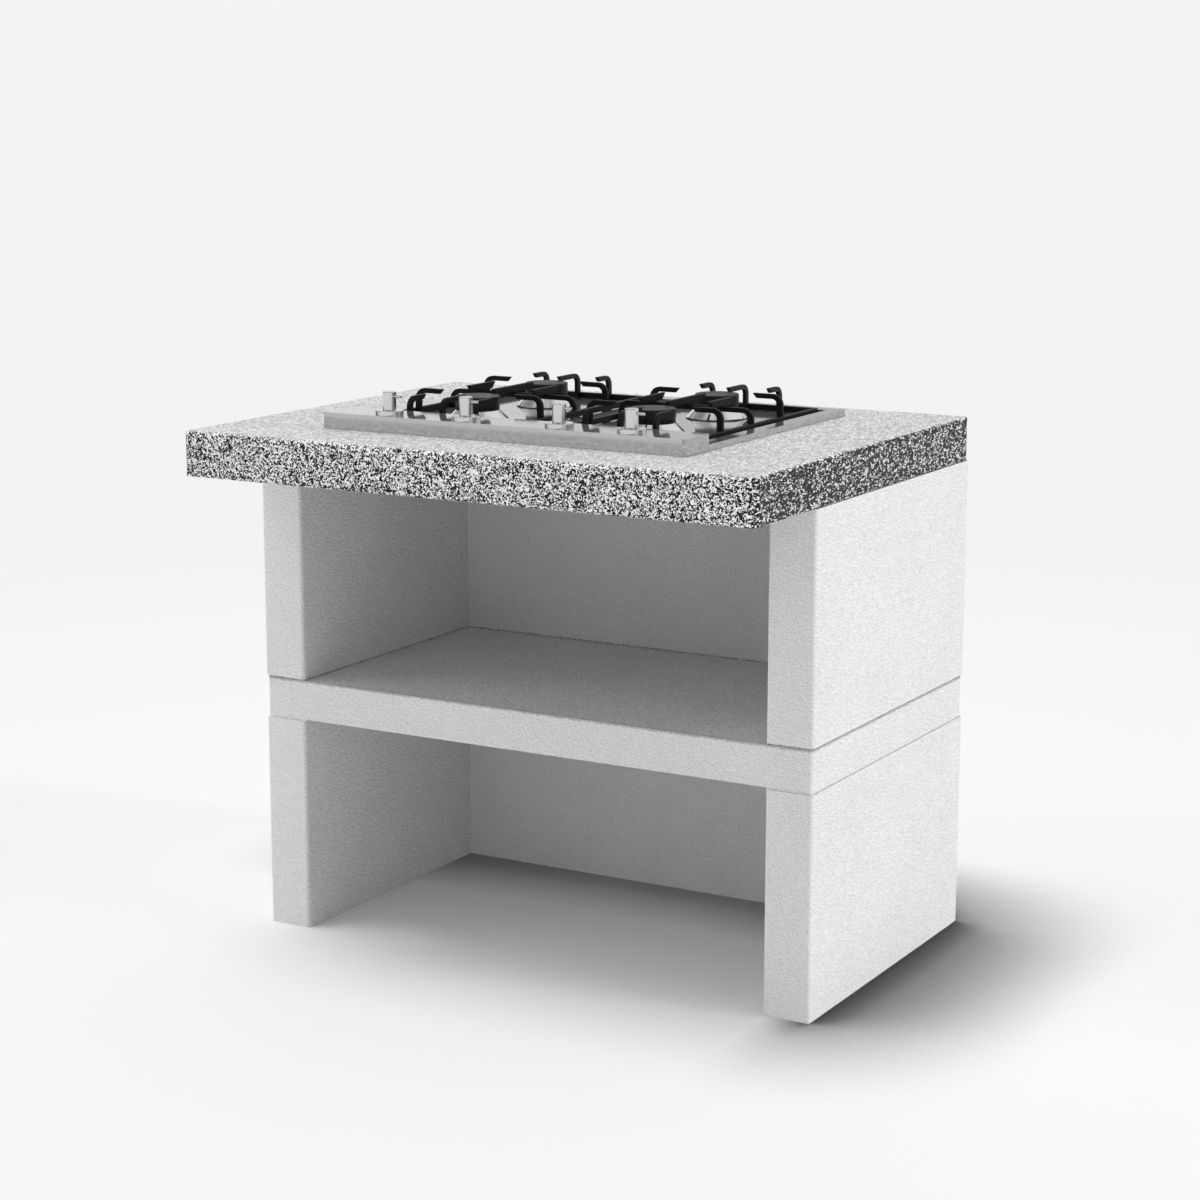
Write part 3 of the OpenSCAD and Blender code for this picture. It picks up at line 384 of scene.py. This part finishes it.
for corner in ("front_left", "back_left", "back_right", "front_right"):
    node = frame["nodes"]["tap_spring_" + corner]
    coil = bpy.data.objects.new("wound_spring_" + corner, node.data.copy())
    scene.collection.objects.link(coil)
    coil.matrix_world = node.matrix_world.copy()
    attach(coil, "base")
    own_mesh(coil)
    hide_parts("tap_spring_" + corner)

# Floor and light

BACK = (0.905, 0.888, 0.896)  # the backdrop's colour
FLOOR_SIZE = 160.0
FLOOR_DROP = 0.0002  # the floor lies that far under the part, so that their faces don't meet
WORLD_LIGHT = 0.55


def floor_material():
    """Matt floor that carries the shadows near the module and turns into the backdrop far from it.
    To the camera only, a painted contact shadow makes it darker beside the walls: at the back of
    the bay, on the right and behind."""
    in_side_wall, right_face = 0.385, 0.445
    in_back_wall = 0.31
    g = painted("studio_floor")
    dust = g.noise(3.0, 2.0)
    colour = g.ramp(dust, [(0.0, shade(BACK, 0.936)), (1.0, shade(BACK, 0.940))])
    camera_ray = g.add("ShaderNodeLightPath").outputs["Is Camera Ray"]

    x, y, _ = g.axes()
    inside = g.math("LESS_THAN", g.math("ABSOLUTE", x), in_side_wall)
    bay_back = g.math("MULTIPLY", inside, g.span(y, 0.10, 0.24, 0.0, 0.6))
    past_walls = g.math("SUBTRACT", 1.0, inside)
    outside = g.math("MAXIMUM", past_walls, g.math("GREATER_THAN", y, in_back_wall))
    behind = g.math("MULTIPLY", outside, g.span(y, 0.0, 0.30, 0.0, 1.0))
    right = g.span(x, in_side_wall, right_face, 0.0, 1.0)
    where = g.math("MAXIMUM", g.math("MAXIMUM", right, behind), bay_back)
    # Painted contact shadow: the floor's colour is darkened by how closed in it is, inside the
    # masks above, for camera rays only.
    openness = g.math("MULTIPLY", g.occlusion(0.30, 2.6), g.occlusion(0.06, 1.4))
    shown = g.math("MULTIPLY", where, camera_ray)
    painted_contact_shadow = g.math("MULTIPLY", shown, g.math("SUBTRACT", 1.0, openness))
    shaded = g.mix(1.0, colour, g.math("SUBTRACT", 1.0, painted_contact_shadow), "MULTIPLY")
    near = g.coat(shaded, 0.95, specular=0.0)

    far = g.glow("ShaderNodeEmission", BACK)
    distance = g.add("ShaderNodeVectorMath", operation="LENGTH")
    g.put(g.coords, distance.inputs[0])
    fade = g.span(distance.outputs["Value"], 1.4, 3.2, 0.0, 1.0)
    return g.finish(g.blend(g.math("MULTIPLY", fade, camera_ray), near, far))


bpy.ops.mesh.primitive_plane_add(size=FLOOR_SIZE, location=(0.0, 0.0, -FLOOR_DROP))
floor = bpy.context.object
floor.name = "studio_floor"
floor.data.materials.append(floor_material())

# What polished metal mirrors: a bright studio with darker gaps between its panels. Each stop is an
# angle about the part, in degrees, where 0 is the front and 90 the right, and a brightness.
PANELS = [
    (-180.0, 0.60), (-154.0, 0.60), (-145.0, 1.0), (-125.0, 1.0), (-105.0, 0.35), (-85.0, 0.25),
    (-65.0, 0.95), (-35.0, 0.78), (-5.0, 0.60), (20.0, 0.40), (45.0, 0.66), (75.0, 0.95),
    (92.0, 0.30), (112.0, 0.40), (128.0, 1.0), (180.0, 1.0),
]


def studio():
    """The camera sees the backdrop's colour, metal mirrors the panels, and other rays get an even
    light."""
    g = Graph(bpy.data.worlds.new("studio"), "ShaderNodeOutputWorld", "Generated")
    ray = g.add("ShaderNodeLightPath").outputs
    x, y, _ = g.axes()
    angle = g.math("ARCTAN2", x, g.math("MULTIPLY", y, -1.0))
    turn = g.span(angle, -math.pi, math.pi, 0.0, 1.0)
    panels = g.ramp(turn, [((at + 180.0) / 360.0, level) for at, level in PANELS])
    seen = g.glow("ShaderNodeBackground", g.mix(ray["Is Glossy Ray"], BACK, panels, "MULTIPLY"))
    lit = g.glow("ShaderNodeBackground", (1.0, 1.0, 1.0), WORLD_LIGHT)
    shown = g.math("MAXIMUM", ray["Is Camera Ray"], ray["Is Glossy Ray"])
    shown = g.math("MAXIMUM", shown, ray["Is Transmission Ray"])
    return g.finish(g.blend(shown, lit, seen))


scene.world = studio()


def sun(name, strength, spread, azimuth, elevation):
    """A soft distant lamp that stands at that azimuth (0 is the front, 90 the right) and height."""
    lamp = bpy.data.lights.new(name, "SUN")
    lamp.energy = strength
    lamp.angle = math.radians(spread)
    obj = bpy.data.objects.new(name, lamp)
    scene.collection.objects.link(obj)
    obj.visible_glossy = False
    a, e = math.radians(azimuth), math.radians(elevation)
    there = Vector((math.sin(a) * math.cos(e), -math.cos(a) * math.cos(e), math.sin(e)))
    obj.rotation_euler = there.to_track_quat("Z", "Y").to_euler()


sun("sky_lamp", 1.52, 28.0, -55.0, 77.0)
sun("front_lamp", 0.66, 34.0, -62.0, 14.0)
sun("side_lamp", 1.38, 12.0, 96.0, 8.0)

# Camera, solved from the part's straight edges

cam = bpy.data.cameras.new("camera")
cam.sensor_width = 36.0
cam.lens = 79.46
camera = bpy.data.objects.new("camera", cam)
scene.collection.objects.link(camera)
camera.location = (1.9011, -3.2600, 1.2604)
camera.rotation_euler = (math.radians(78.772), 0.0, math.radians(29.899))
scene.camera = camera
scene.view_settings.view_transform = "Standard"
